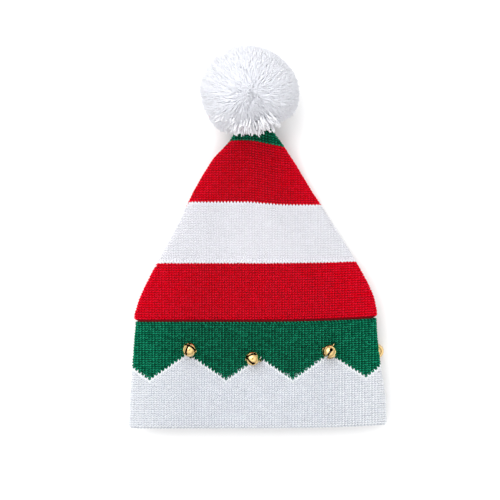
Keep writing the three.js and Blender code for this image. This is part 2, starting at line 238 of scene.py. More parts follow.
def ripple(x, y):
    """Low waves, as handled knitting has, all of them inwards."""
    wave = np.sin(x / 13 + 2.2 * np.sin(y / 37)) * np.sin(y / 19 + 1.1 * np.sin(x / 29))
    return RIPPLE * (0.5 + 0.5 * wave)


def skin(face, s, y, inset, press=0):
    """Points in millimetres, inset inside the cloth's outermost surface. face: 1 front, -1 back."""
    across, bulge = blend_grid(across_grid, s, y), face * blend_grid(bulge_grid, s, y)
    half, depth = at_height("half", y), at_height("depth", y)
    x = at_height("middle", y) + across * (half - inset)
    z = at_height("lift", y) + depth + bulge * (depth - inset)
    z -= np.maximum(bulge, 0) * (valley(x, y) + ripple(x, y) + press)
    fade = 1 - smoothstep(y, CUFF_HEIGHT, CUFF_HEIGHT + SLANT_FADE)
    slanted = y + HEM_SLANT * np.maximum(across, 0) ** 2 * fade
    points = np.stack([x, slanted, np.maximum(z, TABLE_CLEARANCE)], axis=-1)
    return points + shift


# %% [markdown]
# ## Two knitted surfaces
# The crown is one layer. Where it goes into the cuff it lies deeper, behind the cuff. The cuff is
# turned up from the hem: its cloth comes down the outside, round a fold as thick as a pencil lead,
# and up a few millimetres inside. Each surface is a function from a place on the cloth and a height
# above its ground to a point. Stitches stand on the ground, and their backs reach the solid's face.

# %% Crown and cuff as surfaces
STITCH_RELIEF = 0.7  # how far stitches stand out of the ground
FOLD_RADIUS = KNIT_WALL + SEAT_GAP / 2
GROUND_RADIUS = FOLD_RADIUS - STITCH_RELIEF
FOLD_RUN = math.pi * GROUND_RADIUS
CUFF_RUN = CUFF_HEIGHT - FOLD_RADIUS  # cloth from the fold up to the free edge
FOOT_RUN = HEM_LIP - FOLD_RADIUS
EDGE_PRESS = 1.2  # how far the cuff's edge presses into the crown's front
EDGE_PRESS_WIDTH = 2.0
SLIP = {"drop": 5.4, "from": 0.28, "to": 0.85, "left": -12, "right": 28, "back": 4.5}


def crown_inset(y):
    """The crown lies behind the cuff."""
    return (KNIT_WALL + SEAT_GAP) * (1 - smoothstep(y, CUFF_HEIGHT, CUFF_HEIGHT + TUCK_RUN))


def crown_slip(face, s, y):
    """How far the rows have slipped down: right of the valley on the front, all over the back."""
    if face < 0:
        return np.full_like(s, SLIP["back"])
    up = (y - CUFF_HEIGHT) / CROWN_RISE
    rise = smoothstep(up, SLIP["from"], SLIP["to"])
    return SLIP["drop"] * rise * smoothstep(s, SLIP["left"], SLIP["right"])


def crown_surface(face, s, v, height):
    y = np.minimum(v - crown_slip(face, s, v), HAT_LENGTH)
    press = EDGE_PRESS * np.exp(-(((y - CUFF_HEIGHT) / EDGE_PRESS_WIDTH) ** 2))
    return skin(face, s, y, crown_inset(y) + STITCH_RELIEF - height, press)


def cuff_surface(face, s, v, height):
    angle = np.clip(-v / GROUND_RADIUS, 0, math.pi)
    radius = GROUND_RADIUS + height
    y = FOLD_RADIUS - radius * np.sin(angle) + np.maximum(v, 0) + np.maximum(-v - FOLD_RUN, 0)
    return skin(face, s, y, FOLD_RADIUS - radius * np.cos(angle))


# %% [markdown]
# ## Small helpers
# A new primitive is selected all over and so is the loaded model, so the first helper leaves only
# the objects selected that it is given. The others finish a piece: its place goes into its mesh, it
# rides on the hat's one body, and it wears its material.

# %% Helpers for modelling
ROOT = "root"


def fresh(*objects):
    """Object mode, with only these objects selected and the first of them active."""
    if bpy.context.object and bpy.context.object.mode != "OBJECT":
        bpy.ops.object.mode_set(mode="OBJECT")
    bpy.ops.object.select_all(action="DESELECT")
    for obj in objects:
        obj.select_set(True)
    if objects:
        bpy.context.view_layer.objects.active = objects[0]


def pick(obj, test):
    """In edit mode, selects only the vertices whose place passes the test."""
    bpy.ops.mesh.select_mode(type="VERT")
    bpy.ops.mesh.select_all(action="DESELECT")
    bpy.ops.object.mode_set(mode="OBJECT")
    for vertex in obj.data.vertices:
        vertex.select = bool(test(vertex.co))
    bpy.ops.object.mode_set(mode="EDIT")


def tidy_normals():
    bpy.ops.mesh.select_all(action="SELECT")
    bpy.ops.mesh.remove_doubles(threshold=1e-6)
    bpy.ops.mesh.normals_make_consistent(inside=False)
    bpy.ops.object.mode_set(mode="OBJECT")


def settle(obj):
    """Puts the object's place, turn and size into its mesh."""
    fresh(obj)
    bpy.ops.object.transform_apply(location=True, rotation=True, scale=True)
    return obj


def apply_modifiers(obj):
    fresh(obj)
    for modifier in list(obj.modifiers):
        bpy.ops.object.modifier_apply(modifier=modifier.name)


def wear(obj, finish, slot_name, *nodes):
    """Gives a finished piece its material and its body, and hides the solids that it stands for."""
    if finish:
        obj.data.materials.clear()
        obj.data.materials.append(finish)
    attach(obj, ROOT)
    if nodes:
        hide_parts(*nodes)
    return obj


def points_of(obj):
    return np.array([v.co for v in obj.data.vertices])


def move_points(mesh, points):
    """points: one place in millimetres for each vertex."""
    mesh.vertices.foreach_set("co", (points * MM).astype(np.float32).ravel())


def take_arrays(obj):
    """The points and triangles of a small shape, which is then removed."""
    obj.data.calc_loop_triangles()
    points = points_of(obj) / MM
    faces = np.array([t.vertices for t in obj.data.loop_triangles])
    bpy.data.objects.remove(obj)
    return points, faces


def repeat_faces(faces, corners, count):
    """The same triangles once more for every copy of a shape with so many corners."""
    return (faces[None] + corners * np.arange(count)[:, None, None]).reshape(-1, 3)


def mesh_from_arrays(name, points, faces, uv, tone, painted_light):
    """A smooth mesh from arrays: points in millimetres, triangles, and how light each one is, at
    random and by painted light and shade.
    """
    mesh = bpy.data.meshes.new(name)
    mesh.vertices.add(len(points))
    move_points(mesh, points)
    mesh.loops.add(faces.size)
    mesh.loops.foreach_set("vertex_index", faces.astype(np.int32).ravel())
    mesh.polygons.add(len(faces))
    mesh.polygons.foreach_set("loop_start", np.arange(0, faces.size, 3, dtype=np.int32))
    mesh.polygons.foreach_set("use_smooth", np.ones(len(faces), bool))
    mesh.uv_layers.new(name="yarn").data.foreach_set("uv", uv.astype(np.float32).ravel())
    for label, domain, values in (("tone", "FACE", tone), ("painted_light", "POINT", painted_light)):
        attribute = mesh.attributes.new(label, "FLOAT", domain)
        attribute.data.foreach_set("value", values.astype(np.float32))
    mesh.update(calc_edges=True)
    obj = bpy.data.objects.new(name, mesh)
    bpy.context.scene.collection.objects.link(obj)
    print(name, len(faces), "triangles")
    return obj


# %% [markdown]
# ## Yarn
# The yarn is dyed acrylic, spun as two plies. It has no gloss: light sinks in between the fibres and
# comes back soft and deeply coloured, so the shader is very rough with hardly any gloss. The plies
# wind round each other about once in 2 mm, which is finer than a pixel from the camera's place, and
# shows as soft diagonal ridges from close by. Light and shade are also painted into the yarn's
# colour: an attribute says how far a point of a loop stands out, and the yarn is painted paler there,
# a painted highlight, and darker where it dives in between the loops, a painted shade. Another,
# called tone, makes each stitch a little lighter or darker than the next, at random, and paints one
# leg of it paler than the other, as the light from the upper left would make it. The cuff's white
# yarn is from another, cooler batch than the crown's.


# %% Colours and helpers for nodes
def linear(hex_colour):
    """An sRGB hex colour as linear red, green, blue and alpha."""
    parts = [int(hex_colour[k : k + 2], 16) / 255 for k in (1, 3, 5)]
    parts = [p / 12.92 if p <= 0.04045 else ((p + 0.055) / 1.055) ** 2.4 for p in parts]
    return (*parts, 1)


def feed(node, inputs):
    """Gives the sockets of a node their values, or links them to the sockets that feed them."""
    for socket, value in inputs.items():
        if isinstance(value, bpy.types.NodeSocket):
            node.id_data.links.new(value, node.inputs[socket])
        else:
            node.inputs[socket].default_value = value


def add_node(tree, kind, inputs=None, **settings):
    """Adds a node. inputs maps its sockets to values or to the sockets that feed them."""
    made = tree.nodes.new("ShaderNode" + kind)
    for name, value in settings.items():
        setattr(made, name, value)
    feed(made, inputs or {})
    return made


def noise(tree, scale, detail=2.0):
    """Soft patches fixed to the piece, so many in a metre."""
    place = add_node(tree, "TexCoord").outputs["Object"]
    patches = {"Vector": place, "Scale": scale, "Detail": detail}
    return add_node(tree, "TexNoise", patches).outputs["Fac"]


def blend(tree, share, low, high):
    """A colour between two others."""
    return add_node(tree, "Mix", {0: share, 6: low, 7: high}, data_type="RGBA").outputs[2]


def bump(tree, height, strength, depth, under=None, **settings):
    """Relief as deep as depth, in millimetres, over the relief under it."""
    inputs = {"Height": height, "Strength": strength, "Distance": depth * MM}
    if under is not None:
        inputs["Normal"] = under
    return add_node(tree, "Bump", inputs, **settings).outputs["Normal"]


def new_material(name):
    material = bpy.data.materials.new(name)
    material.use_nodes = True
    return material, material.node_tree, material.node_tree.nodes["Principled BSDF"]


# %% Spun acrylic yarn
PLY_PITCH = 2.0  # mm of yarn in which the plies wind round each other once
FIBRE_WIDTH = 0.12  # mm; real fibres are 0.02 mm wide, too fine to show
FIBRE_SPACING = 3  # in fibre widths


def spun_yarn(name, painted_shade, dark, light):
    """The first colour is painted shade, where the yarn dives in between the loops. The other two are
    darker and lighter stitches, which differ at random and carry painted light as well.
    """
    material, tree, shader = new_material(name)
    tone = add_node(tree, "Attribute", attribute_name="tone").outputs["Fac"]
    painted_light = add_node(tree, "Attribute", attribute_name="painted_light").outputs["Fac"]
    # the stitches' own tones at random, with painted light on one leg and on the border's stitches
    dye_and_painted_light = blend(tree, tone, linear(dark), linear(light))
    along = add_node(tree, "UVMap", uv_map="yarn").outputs["UV"]
    ply = add_node(
        tree, "TexWave", {"Vector": along, "Scale": 1.0 / PLY_PITCH, "Distortion": 0.6},
        bands_direction="DIAGONAL",
    )
    plies = bump(tree, ply.outputs["Fac"], 0.35, 0.25)
    fibres = noise(tree, 1 / (FIBRE_WIDTH * MM * FIBRE_SPACING))
    feed(shader, {
        # painted shade where the yarn dives in between the loops, painted highlight where it stands
        # out
        "Base Color": blend(tree, painted_light, linear(painted_shade), dye_and_painted_light),
        "Normal": bump(tree, fibres, 0.5, FIBRE_WIDTH, plies),
        "Roughness": 0.9,
        "Diffuse Roughness": 1.0,
        "IOR": 1.45,
        "Specular IOR Level": 0.03,
    })
    return material


YARNS = {
    "red": spun_yarn("dyed_acrylic_yarn_red", "#A8000E", "#F8001E", "#FF1E40"),
    "green": spun_yarn("dyed_acrylic_yarn_green", "#002018", "#067C56", "#26C08F"),
    "white": spun_yarn("acrylic_yarn_white", "#D9D9DE", "#E2E2E7", "#EDEDF1"),
    "cool_white": spun_yarn("acrylic_yarn_cool_white", "#D3D6DC", "#E7E9EC", "#F9FAFA"),
}
SLOTS = {"red": "knit_red", "green": "knit_green", "white": "knit_white"}
SLOTS["cool_white"] = "knit_white"

# %% [markdown]
# ## One leg of a stitch
# A knitted stitch shows as a V of two legs. Each leg comes out over the stitch below, swells, and
# goes in under the legs of the stitch above. It is modelled once on a flat scrap of knitting: a
# three-cornered section is extruded from ring to ring, with its ridge upwards, and the ends are drawn
# to points that sink into the ground. Shaded smooth, three corners look round, and eighteen triangles
# are few enough to repeat about thirty thousand times.

# %% Model the leg
WALE = 2.99  # width of a column of stitches
COURSE = 2.2  # height of a row of stitches in the crown
CUFF_COURSE = 2.03
LEG_RINGS = [
    # place across and along the scrap, height and girth, in millimetres
    (-0.24, -1.45, -0.40, 0.28),
    (-0.48, -0.80, 0.10, 0.66),
    (-0.73, 0.05, 0.24, 0.74),
    (-1.02, 0.90, -0.10, 0.64),
    (-1.24, 1.60, -0.60, 0.28),
]
LEG_PAINTED_HIGHLIGHT = (0.0, 0.8, 1.0, 0.35, 0.0)  # how much painted highlight the yarn has at each ring; where none, it has the painted shade colour
RIDGE_TURN = math.radians(90)


def model_leg():
    fresh()
    x, y, z, girth = (value * MM for value in LEG_RINGS[0])
    bpy.ops.mesh.primitive_circle_add(
        vertices=3, radius=girth, fill_type="NGON", location=(x, y, z), rotation=(RIDGE_TURN, 0, 0)
    )
    leg = settle(bpy.context.object)
    leg.name = "stitch_leg"
    bpy.ops.object.mode_set(mode="EDIT")
    bpy.ops.mesh.select_all(action="SELECT")
    for here, there in zip(LEG_RINGS, LEG_RINGS[1:]):
        step = [(b - a) * MM for a, b in zip(here[:3], there[:3])]
        bpy.ops.mesh.extrude_region_move(TRANSFORM_OT_translate={"value": step})
        grow = there[3] / here[3]
        centre = [value * MM for value in there[:3]]
        bpy.ops.transform.resize(value=(grow, grow, grow), center_override=centre)
    bpy.ops.mesh.merge(type="CENTER")
    first = LEG_RINGS[0][1] * MM
    pick(leg, lambda co: co.y < first + 0.01 * MM)
    bpy.ops.mesh.merge(type="CENTER")
    tidy_normals()
    return leg


leg_points, leg_faces = take_arrays(model_leg())
mirrored = leg_points * [-1, 1, 1]
stitch_points = np.concatenate([leg_points, mirrored])
stitch_faces = np.concatenate([leg_faces, leg_faces[:, ::-1] + len(leg_points)])
print("one stitch:", len(stitch_points), "points,", len(stitch_faces), "triangles")
print(np.round(leg_points, 2).tolist())

# %% [markdown]
# ## Laying the stitches
# The stitches are laid on a grid of columns and rows, like squares on a knitting chart. The columns
# run straight up the hat and are cut off where the side seams cross them, as in a cut-and-sewn
# tube. Each stitch of the chart has a colour, and stitches of one band become one mesh.


# %% Lay copies of a small shape over a surface
PLUMP_SPREAD = 0.045  # the stitches differ in size by this share
NUDGE_SPREAD = 0.07  # and in place by this many millimetres
STAND_SHARE = 0.1  # how much of the relief a whole stitch is raised by
TONE_MIDDLE, TONE_SPREAD = 0.45, 0.22
PROUD_SIZE = 0.16  # how much larger the border's stitches are
PROUD_STRETCH = 0.3  # how much longer the border's stitches are
LIT_LEG_PAINTED_LIGHT = 0.3  # one leg of each stitch is painted paler than the other, as lit from the upper left
CREASE_PAINTED_SHADE = 0.9  # how much of its painted highlight the yarn loses in the fold's crease: painted shade
FOLD_PRESS_AND_SHADE_RUN = 3.5  # cloth round the fold that is pressed in and painted in shade


def lay(surface, face, s0, v0, shape_points, shape_faces, turn=0, proud_and_painted_light=None, seed=1):
    """Copies a small shape to every place (s0, v0). A stitch marked 1 stands out and is painted
    paler, a painted highlight; one marked -1 is pressed in and painted darker, a painted shade.
    """
    random = np.random.default_rng(seed)
    proud_and_painted_light = np.zeros(len(s0)) if proud_and_painted_light is None else proud_and_painted_light.astype(float)
    count, corners = len(s0), len(shape_points)
    cos, sin = math.cos(turn), math.sin(turn)
    x = shape_points[:, 0] * cos - shape_points[:, 1] * sin
    y = shape_points[:, 0] * sin + shape_points[:, 1] * cos
    plump = random.normal(1, PLUMP_SPREAD, (count, 1)) + PROUD_SIZE * proud_and_painted_light[:, None]
    nudge = random.normal(0, NUDGE_SPREAD, (count, 2))
    s = s0[:, None] + nudge[:, :1] + x * plump
    v = v0[:, None] + nudge[:, 1:] + y * plump * (1 + PROUD_STRETCH * proud_and_painted_light[:, None])
    height = STITCH_RELIEF * STAND_SHARE + shape_points[:, 2] * plump
    points = surface(face, s.ravel(), v.ravel(), height.ravel())
    faces = repeat_faces(shape_faces, corners, count)
    flat = shape_points[shape_faces.ravel(), :2]
    uv = np.tile(flat, (count, 1)) + np.repeat(random.random((count, 2)) * 4, len(flat), axis=0)
    side = np.sign(shape_points[shape_faces].mean(axis=1)[:, 0])
    # Each stitch's tone differs at random. A border stitch is painted lighter, a painted highlight, a
    # pressed one darker, a painted shade, and the right leg of each stitch is painted paler than the
    # left, as lit from the upper left.
    tone = random.normal(TONE_MIDDLE, TONE_SPREAD, count) + proud_and_painted_light
    tone = np.clip(tone[:, None] + LIT_LEG_PAINTED_LIGHT * side, 0, 1).ravel()
    # Painted highlight where the leg stands out; painted shade at its ends, where it dives in, and in
    # the fold's crease.
    pale = np.interp(shape_points[:, 1], [ring[1] for ring in LEG_RINGS], LEG_PAINTED_HIGHLIGHT)
    pale = np.clip(shape_points[:, 2] / shape_points[:, 2].max(), 0, 1) * pale
    painted_light = np.outer(1 + CREASE_PAINTED_SHADE * np.minimum(proud_and_painted_light, 0), pale).ravel()
    return points, faces, uv, tone, painted_light


def join_arrays(name, parts):
    """One object from several laid parts."""
    offsets = np.cumsum([0] + [len(p[0]) for p in parts[:-1]])
    points = np.concatenate([p[0] for p in parts])
    faces = np.concatenate([p[1] + o for p, o in zip(parts, offsets)])
    rest = [np.concatenate([p[k] for p in parts]) for k in (2, 3, 4)]
    return mesh_from_arrays(name, points, faces, *rest)


# %% The chart: which stitch has which colour
SEAM_SHOW = 3.2  # how far the left seam has rolled onto the front
SEAM_ROOM = 0.3  # how much of a column the seam takes up
TIP_ROOM = 2
SIDE_COLUMNS = 45  # the most columns on either side of the middle
RED_TO_WHITE, WHITE_TO_RED, RED_TO_GREEN = 149.6, 204.0, 258.0
ZIGZAG_FRONT = (-96.1, -29.5, 30.8, 96.5)
ZIGZAG_BACK = (-68.0, 0.0, 68.0)
ZIGZAG_LOW = 42.5  # cloth from the fold up to the lowest green stitch


def crown_colour(v):
    return np.select(
        [v < RED_TO_WHITE, v < WHITE_TO_RED, v < RED_TO_GREEN], ["red", "white", "red"], "green"
    )


def zigzag_height(face, s):
    """A line that climbs one row with each column from its nearest low point."""
    lows = np.array(ZIGZAG_FRONT if face > 0 else ZIGZAG_BACK)
    columns_off = np.round(np.abs(s[:, None] - lows).min(axis=1) / WALE)
    return ZIGZAG_LOW + columns_off * CUFF_COURSE - 0.1


def cuff_colour(face, s, v):
    return np.where(v > zigzag_height(face, s), "green", "cool_white")


def seams(face, y):
    """Where the left and the right seam run on one face."""
    left = np.interp(y, row_heights, seam_left) + (SEAM_SHOW if face > 0 else -SEAM_SHOW)
    return left, np.interp(y, row_heights, seam_right)


def chart(face, low, high, pitch, height_of):
    """Centres of all stitches between the seams of one face."""
    columns = (np.arange(-SIDE_COLUMNS, SIDE_COLUMNS) + 0.5) * WALE
    courses = np.arange(math.ceil(low / pitch), high / pitch) * pitch
    s, v = (a.ravel() for a in np.meshgrid(columns, courses))
    y = height_of(s, v)
    left, right = seams(face, y)
    keep = (s > left + SEAM_ROOM * WALE) & (s < right - SEAM_ROOM * WALE)
    keep &= y < HAT_LENGTH - TIP_ROOM
    return s[keep], v[keep]


# %% Knit the crown
# The crown's stitches start this far above the cuff's edge, so a strip of the ground's painted shade
# shows as a dark line in the groove.
CROWN_FIRST = CUFF_HEIGHT + 2.7
CROWN_BANDS = {
    # colour, from, to: cloth up from the hem
    "lower_red": ("red", -1, RED_TO_WHITE),
    "white_stripe": ("white", RED_TO_WHITE, WHITE_TO_RED),
    "upper_red": ("red", WHITE_TO_RED, RED_TO_GREEN),
    "green_tip": ("green", RED_TO_GREEN, 1000),
}
crown_charts = {
    face: chart(
        face, CROWN_FIRST, HAT_LENGTH + SLIP["back"], COURSE, lambda s, v: v - crown_slip(face, s, v)
    )
    for face in (1, -1)
}
for band, (yarn, low, high) in CROWN_BANDS.items():
    parts = []
    for face, (s, v) in crown_charts.items():
        mine = (v >= low) & (v < high)
        edge = np.minimum(v[mine] - low, high - v[mine]) < COURSE
        # The white stripe's first and last rows stand out and are painted paler: a painted highlight.
        laid = lay(
            crown_surface, face, s[mine], v[mine], stitch_points, stitch_faces,
            proud_and_painted_light=edge & (band == "white_stripe"),
        )
        parts.append(laid)
    wear(join_arrays("crown_stitches_" + band, parts), YARNS[yarn], SLOTS[yarn])

# %% Knit the cuff
CUFF_FIRST = -FOLD_RUN - FOOT_RUN
cuff_shape = stitch_points * [1, CUFF_COURSE / COURSE, 1]
cuff_bands = {"green": [], "cool_white": []}
for face in (1, -1):
    s, v = chart(face, CUFF_FIRST + 1, CUFF_RUN - 2, CUFF_COURSE, lambda s, v: np.maximum(v, 0))
    colours = cuff_colour(face, s, v)
    # The white stitches along the zigzag stand out and are painted paler, a painted highlight; those
    # round the fold are pressed in and painted darker, a painted shade.
    border = (colours == "cool_white") & (v > zigzag_height(face, s) - CUFF_COURSE)
    relief_and_painted_light = border.astype(float) - ((v > -FOLD_PRESS_AND_SHADE_RUN) & (v < 0))
    for colour, parts in cuff_bands.items():
        mine = colours == colour
        laid = lay(
            cuff_surface, face, s[mine], v[mine], cuff_shape, stitch_faces,
            proud_and_painted_light=relief_and_painted_light[mine], seed=2,
        )
        parts.append(laid)
for colour, parts in cuff_bands.items():
    wear(join_arrays("cuff_stitches_" + colour, parts), YARNS[colour], SLOTS[colour])

# %% [markdown]
# ## The ground of the knitting
# Between the legs of the stitches the cloth is closed by more yarn, in shade. Its colours are painted
# much darker than the yarn's, as painted shade. That ground is a front and a back panel, as the real
# hat has, each a flat grid rolled to the shape of the hat. The panels are joined at the side seams
# and given the rest of the wall's thickness, inwards. The inside shows the back of the knitting, with
# its rows of little bumps, in the same painted shade colours.


# %% Ground of the knitting
PATCH_SHADE = 0.75  # how light the darker patches of the ground are


def ground_yarn(name, colour, purl):
    """The cloth between the stitches, or with purl the bumpy back of the knitting."""
    material, tree, shader = new_material(name)
    chart_place = add_node(tree, "UVMap", uv_map="chart").outputs["UV"]
    bumps = add_node(
        tree, "TexBrick",
        {"Vector": chart_place, "Scale": 1.0, "Mortar Size": 0.2, "Mortar Smooth": 1.0,
         "Brick Width": 1.0, "Row Height": 0.5},
        offset=0.5,
    )
    shaded = [PATCH_SHADE * c for c in linear(colour)]
    feed(shader, {
        "Base Color": blend(tree, noise(tree, 90.0), shaded, linear(colour)),
        "Normal": bump(tree, bumps.outputs["Fac"], 0.9 if purl else 0.5, 0.6, invert=True),
        "Roughness": 0.95,
        "Specular IOR Level": 0.2,
    })
    return material


# The ground's colours are darker than the yarn's: painted shade between the stitches and inside the
# hat.
GROUND_PAINTED_SHADE_COLOURS = {"red": "#7C000C", "white": "#D4D4DA", "green": "#00251A", "cool_white": "#B4B8C4"}
COLOUR_ORDER = list(GROUND_PAINTED_SHADE_COLOURS)
PANEL_ACROSS = 50  # cells in a panel, from seam to seam and along the hat
CROWN_ALONG = 100
CUFF_ALONG = 48
SEAM_MERGE = 0.4  # corners closer than this at the seams become one
TOP_BAND = 0.5
knit_grounds = [ground_yarn("knit_ground_painted_shade_" + c, GROUND_PAINTED_SHADE_COLOURS[c], False) for c in COLOUR_ORDER]
knit_backs = [ground_yarn("knit_back_painted_shade_" + c, GROUND_PAINTED_SHADE_COLOURS[c], True) for c in COLOUR_ORDER]


def knit_panel(name, face, along, surface, low, high, colour_at):
    """A grid of cells rolled over one face of a surface, from seam to seam."""
    fresh()
    bpy.ops.mesh.primitive_grid_add(x_subdivisions=PANEL_ACROSS, y_subdivisions=along, size=2)
    panel = bpy.context.object
    panel.name = name
    flat = points_of(panel)
    v = low + (flat[:, 1] + 1) / 2 * (high - low)
    slip = crown_slip(face, np.zeros_like(v), v) if surface is crown_surface else 0
    left, right = seams(face, np.clip(v - slip, 0, HAT_LENGTH))
    s = left + (flat[:, 0] + 1) / 2 * (right - left)
    move_points(panel.data, surface(face, s, v, np.zeros_like(s)))
    corner = np.zeros(len(panel.data.loops), np.int32)
    panel.data.loops.foreach_get("vertex_index", corner)
    chart_uv = np.stack([s[corner] / WALE, v[corner] / COURSE], axis=-1)
    panel.data.uv_layers.active.name = "chart"
    panel.data.uv_layers["chart"].data.foreach_set("uv", chart_uv.astype(np.float32).ravel())
    cells = np.array([p.vertices for p in panel.data.polygons])
    colours = colour_at(face, s[cells].mean(axis=1), v[cells].mean(axis=1))
    index = np.array([COLOUR_ORDER.index(c) for c in colours], np.int32)
    for finish in knit_grounds + knit_backs:
        panel.data.materials.append(finish)
    panel.data.polygons.foreach_set("material_index", index)
    if face < 0:
        panel.data.flip_normals()
    return panel


def sew_panels(name, front, back, wall, close_top):
    """Joins two panels at their seams and gives them a wall."""
    fresh(front, back)
    bpy.ops.object.join()
    front.name = name
    bpy.ops.object.mode_set(mode="EDIT")
    bpy.ops.mesh.select_all(action="SELECT")
    bpy.ops.mesh.remove_doubles(threshold=SEAM_MERGE * MM)
    if close_top:
        top = max(v.co.y for v in front.data.vertices)
        pick(front, lambda co: co.y > top - TOP_BAND * MM)
        bpy.ops.mesh.edge_face_add()
    tidy_normals()
    bpy.ops.object.shade_smooth()
    solid = front.modifiers.new("wall", "SOLIDIFY")
    solid.thickness = wall * MM
    solid.offset = -1
    solid.use_even_offset = False
    solid.material_offset = len(COLOUR_ORDER)
    apply_modifiers(front)
    print(name, len(front.data.polygons), "faces")
    return front


# %% Ground of the crown
GROUND_WALL = KNIT_WALL - STITCH_RELIEF
CROWN_EDGE = HEM_LIP + SEAT_GAP
TOP_GAP = 0.5
crown_panels = [
    knit_panel(
        "crown_panel", face, CROWN_ALONG, crown_surface, CROWN_EDGE + extra,
        HAT_LENGTH - TOP_GAP + extra, lambda face, s, v: crown_colour(v),
    )
    for face, extra in ((1, 0), (-1, SLIP["back"]))
]
crown_ground = sew_panels("crown_ground", *crown_panels, GROUND_WALL, True)
wear(crown_ground, None, "knit_red", "crown")

# %% Ground of the cuff
cuff_panels = [
    knit_panel("cuff_panel", face, CUFF_ALONG, cuff_surface, CUFF_FIRST, CUFF_RUN, cuff_colour)
    for face in (1, -1)
]
cuff_ground = sew_panels("cuff_ground", *cuff_panels, GROUND_WALL, False)
wear(cuff_ground, None, "knit_green", "cuff")

# %% [markdown]
# ## Edges and seams
# The cuff's free edge is bound off: the last row is a chain that lies along the edge, one link for
# each column, and it catches the light as a row of small loops. The side seams are sewn over and
# over with the same yarn.

# %% Bind off the free edge
EDGE_CHAIN_LOW = 1.2
edge_parts = []
for face in (1, -1):
    left, right = (np.interp(CUFF_HEIGHT, row_heights, seam) for seam in (seam_left, seam_right))
    s = np.linspace(left, right, round((right - left) / WALE))
    v = np.full_like(s, CUFF_RUN - EDGE_CHAIN_LOW)
    shape = stitch_points * [0.85, 1.15, 1.2] + [0, 0, 0.15]
    laid = lay(cuff_surface, face, s, v, shape, stitch_faces, turn=math.pi / 2, seed=3)
    edge_parts.append(laid)
wear(join_arrays("cuff_bound_edge", edge_parts), YARNS["green"], "knit_green")

# %% Sew the side seams
SEAM_PITCH = 2.6
SEAM_SLANT = math.radians(-50)
seam_shape = leg_points * [1.0, 0.9, 1.1] + [0.78, 0, 0.15]


def sew_seams(name, surface, low, high, colour_of, height_of):
    parts = {}
    for seam, show in ((seam_left, SEAM_SHOW), (seam_right, 0)):
        v = np.arange(low, high, SEAM_PITCH)
        s = np.interp(height_of(v), row_heights, seam) + show
        colours = colour_of(1, s, v)
        for colour in COLOUR_ORDER:
            mine = colours == colour
            if mine.any():
                laid = lay(
                    surface, 1, s[mine], v[mine], seam_shape, leg_faces, turn=SEAM_SLANT, seed=4
                )
                parts.setdefault(colour, []).append(laid)
    for colour, laid in parts.items():
        wear(join_arrays(f"{name}_{colour}", laid), YARNS[colour], SLOTS[colour])


sew_seams(
    "crown_seam", crown_surface, CUFF_HEIGHT + 1.6, HAT_LENGTH - 4,
    lambda face, s, v: crown_colour(v), lambda v: v,
)
sew_seams(
    "cuff_seam", cuff_surface, -FOLD_RUN, CUFF_RUN - 0.5, cuff_colour, lambda v: np.maximum(v, 0)
)

# %% [markdown]
# ## The pompom
# A pompom is hundreds of turns of yarn, tied in the middle and cut, so every strand runs straight
# out from the knot and ends in a blunt cut. Neighbouring strands cling together in tufts, and the
# table bends those below. A strand is modelled as a three-sided cord with a few rings and then
# copied by arrays: a direction on a sphere, a pull towards the tuft's middle, a small bend. The
# strands part a little below the top, and they stand up straight round that parting.

# %% Model one strand
STRAND_RADIUS = 0.5
STRAND_RINGS = (0.45, 0.75, 1.0)


def model_strand():
    fresh()
    bpy.ops.mesh.primitive_circle_add(vertices=3, radius=STRAND_RADIUS * MM, fill_type="NGON")
    strand = bpy.context.object
    bpy.ops.object.mode_set(mode="EDIT")
    bpy.ops.mesh.select_all(action="SELECT")
    for low, high in zip((0, *STRAND_RINGS), STRAND_RINGS):
        rise = (0, 0, (high - low) * MM)
        bpy.ops.mesh.extrude_region_move(TRANSFORM_OT_translate={"value": rise})
    tidy_normals()
    return take_arrays(strand)


strand_points, strand_faces = model_strand()
print("one strand:", len(strand_points), "points,", len(strand_faces), "triangles")

# %% Grow the pompom
STRAND_COUNT = 16000
STRAND_SCATTER = 0.012  # how far directions stray from an even spread
TUFT_SCATTER = 0.05
MOST_SHARE, SHARE_SPREAD = 0.97, 0.007  # how much of the full reach most strands have
ROOT_SHARE = 0.84
COMB_TOP = math.radians(20)  # how far round the ball the strands on top lie over, outwards
COMB_SIDE = math.radians(5)
COMB_ROOT = 0.45
TUFT_COUNT = 420
TUFT_PULL = 0.03
STRAY = 0.5  # how far a strand's tip strays, in millimetres
PARTING = Matrix.Rotation(math.radians(10), 3, "X")  # the strands part a little below the top
PARTING_NOISE = 0.12
UPRIGHT = 0.4  # how far round the parting the strands stand more upright
LONG_SHARE = 0.06  # how many strands stand out of the rest
LONG_REACH = (0.01, 0.035)
LOOSE_COUNT = 320  # strands that hang over the crown's tip one by one
LOOSE_TURN = (-138, -48)  # degrees round the pompom
LOOSE_TILT = (48, 92)  # degrees down from its top
LOOSE_REACH = 43.0
LOOSE_SPREAD = 1.6
LOOSE_GIRTH = 1.15
HOLLOW_AIM = Vector((0.08, -0.8, 0.6)).normalized()  # where the strands stand apart
HOLLOW_WIDTH = 0.6
STRAND_HOLLOW = 0.13
CORE_HOLLOW = 0.20
CORE_SHARE = 0.925
CORE_DENTS = 0.02
CORE_LOW = 3.0
CROWN_ROOM = 1.2  # how far the strands keep off the crown's tip
TABLE_REST, TABLE_PILE = 0.9, 2.5  # strands on the table lie from the first, over the second
POMPOM_LEAN = 1.6  # how far the strands hang towards -X of the solid's middle
TIP_SIDE_SHARE = 0.94  # the strands that lie on the crown's tip are pushed back a little
OUTLINE_TURN = (-180, -155, -127, -90, -55, -28, 0, 45, 90, 125, 180)
OUTLINE_GROWTH = (0.01, -0.01, 0.08, -0.02, -0.08, 0.04, 0.02, -0.03, -0.005, 0.015, 0.01)
